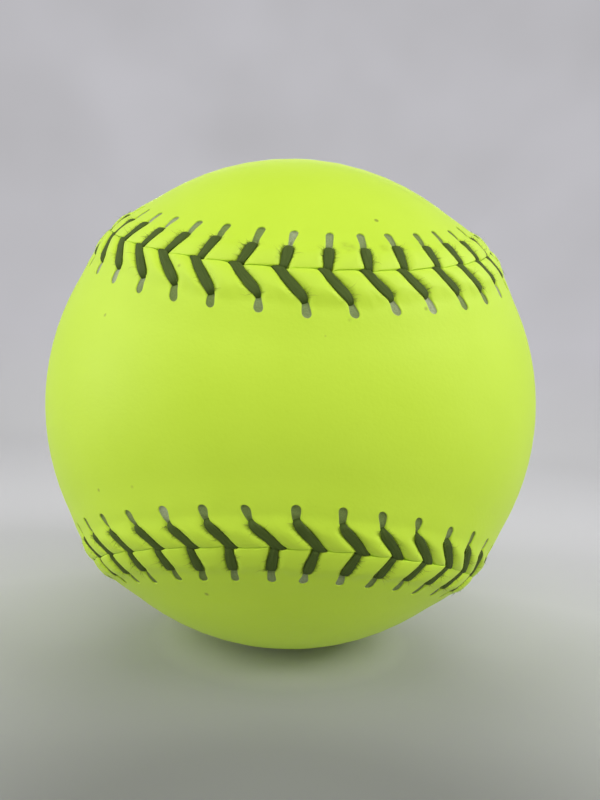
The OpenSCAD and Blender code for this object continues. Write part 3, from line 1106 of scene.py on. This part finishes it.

# %% [markdown]
# ## Studio
# The ball stands on a plain floor that curves up into a round wall, so no view looks past it. The
# floor is pale far off, with a painted shadow in front of the ball and painted light from the ball
# close round the spot where it stands, so the floor's grey is mixed by the distance from those two
# places. To the camera the wall has an even glow of its own, and the lamps draw no bright edges on
# it. Light that bounces meets plain greys instead, which set how much comes back to the ball from below.

# %% Floor and wall
# Radii of the floor and of the bend, and the height of the wall, in metres
FLOOR_R, BEND_R, WALL_TOP = 0.42, 0.22, 1.1
FLOOR_RINGS = (0.0, 0.08, 0.2, FLOOR_R)
BEND_STEPS, AROUND_STEPS = 14, 96
FLOOR_Z = -BALL_R * MM
# The floor's even pale grey, its painted shadow in front of the ball, and the painted light from the ball
# close round where it stands
FLOOR_SEEN, FLOOR_PAINTED_SHADOW, FLOOR_PAINTED_GLOW = srgb(221, 221, 223), srgb(137, 137, 137), srgb(238, 238, 234)
WALL_SEEN = srgb(174, 173, 176), srgb(196, 195, 201)
FLOOR_BOUNCE, WALL_BOUNCE = srgb(184, 184, 184), srgb(88, 88, 88)
BLACK = srgb(0, 0, 0)
# Where the floor's painted shadow is darkest, in front of the ball, and where the ball stands, round which
# the floor has painted light
PAINTED_SHADOW_PLACE, STANDING_PLACE = (0, -0.075, FLOOR_Z), (0, 0, FLOOR_Z)


def backdrop():
    profile = [(radius, 0.0) for radius in FLOOR_RINGS]
    for step in range(1, BEND_STEPS + 1):
        angle = math.pi / 2 * step / BEND_STEPS
        profile.append((FLOOR_R + BEND_R * math.sin(angle), BEND_R * (1 - math.cos(angle))))
    profile.append((FLOOR_R + BEND_R, WALL_TOP))
    points, faces = [], []
    for radius, height in profile:
        for step in range(AROUND_STEPS):
            angle = 2 * math.pi * step / AROUND_STEPS
            points.append((radius * math.cos(angle), radius * math.sin(angle), height + FLOOR_Z))
    for ring in range(len(profile) - 1):
        for step in range(AROUND_STEPS):
            a, b = ring * AROUND_STEPS + step, ring * AROUND_STEPS + (step + 1) % AROUND_STEPS
            faces.append([a, a + AROUND_STEPS, b + AROUND_STEPS, b])
    mesh = bpy.data.meshes.new("backdrop")
    mesh.from_pydata(points, [], faces)
    mesh.shade_smooth()
    return mesh


def backdrop_finish():
    finish = Finish("backdrop_grey")
    camera_ray, glossy_ray, transmission_ray = (
        finish.node("ShaderNodeLightPath", output="Is " + kind + " Ray")
        for kind in ("Camera", "Glossy", "Transmission"))
    seen = camera_ray + glossy_ray + transmission_ray
    where = finish.place()
    height = finish.node("ShaderNodeSeparateXYZ", None, {0: where}, output="Z")
    wall = finish.ramp(height - FLOOR_Z, (0.01, 0), (0.11, 1))
    # Painted shadow on the floor, darkest in front of the ball
    far = finish.ramp(finish.distance(where, PAINTED_SHADOW_PLACE), (0.03, 0), (0.12, 1))
    # Painted light from the ball on the floor, close round the spot where it stands
    beneath = finish.ramp(finish.distance(where, STANDING_PLACE), (0.01, 1), (0.028, 0))
    floor_with_painted_light = finish.mix(beneath, finish.mix(far, FLOOR_PAINTED_SHADOW, FLOOR_SEEN), FLOOR_PAINTED_GLOW)
    bounce = finish.mix(wall, FLOOR_BOUNCE, WALL_BOUNCE)
    wall_grey = finish.mix(finish.noise(6, 2), *WALL_SEEN)
    return finish.surface(
        Base_Color=finish.mix(seen, bounce, finish.mix(wall, floor_with_painted_light, BLACK)),
        Roughness=0.9,
        Emission_Color=finish.mix(seen * wall, BLACK, wall_grey),
        Emission_Strength=1.0,
    )


floor = bpy.data.objects.new("backdrop", backdrop())
floor.data.materials.append(backdrop_finish())
bpy.context.scene.collection.objects.link(floor)

# %% [markdown]
# ## Lamps
# The photograph's light is soft and comes from above and in front, and the sides of the ball are
# as bright as its middle. Wide lamps all round give that without hard shadows. Two low ones light
# the flanks, and as they hang close to the floor, a narrow spread keeps their light off it.

# %% Lights
# Brightness of the air between the lamps
AIR = 0.08


def area_light(name, spot, size, power, spread=180):
    data = bpy.data.lights.new(name, "AREA")
    data.shape = "DISK"
    data.size = size
    data.energy = power
    data.spread = math.radians(spread)
    light = bpy.data.objects.new(name, data)
    light.location = spot
    light.rotation_euler = (-Vector(spot)).to_track_quat("-Z", "Y").to_euler()
    bpy.context.scene.collection.objects.link(light)
    return light


lights = [
    area_light("front", (0.0, -0.5, 0.45), 0.5, 1.4),
    area_light("left", (-0.5, -0.3, 0.4), 0.4, 1.9),
    area_light("right", (0.5, -0.3, 0.4), 0.4, 2.8),
    area_light("left_side", (-0.62, 0.15, 0.3), 0.4, 0.8),
    area_light("right_side", (0.62, 0.15, 0.3), 0.4, 1.2),
    area_light("back", (0.0, 0.6, 0.22), 0.5, 1.6),
    area_light("left_low", (-0.48, -0.08, 0.07), 0.24, 0.11, spread=70),
    area_light("right_low", (0.48, -0.08, 0.07), 0.24, 0.045, spread=70),
]
world = bpy.data.worlds.new("studio")
world.use_nodes = True
air = world.node_tree.nodes["Background"]
air.inputs["Color"].default_value = (1, 1, 1, 1)
air.inputs["Strength"].default_value = AIR
bpy.context.scene.world = world
bpy.context.scene.view_settings.view_transform = "Standard"
print("lamps:", len(lights))
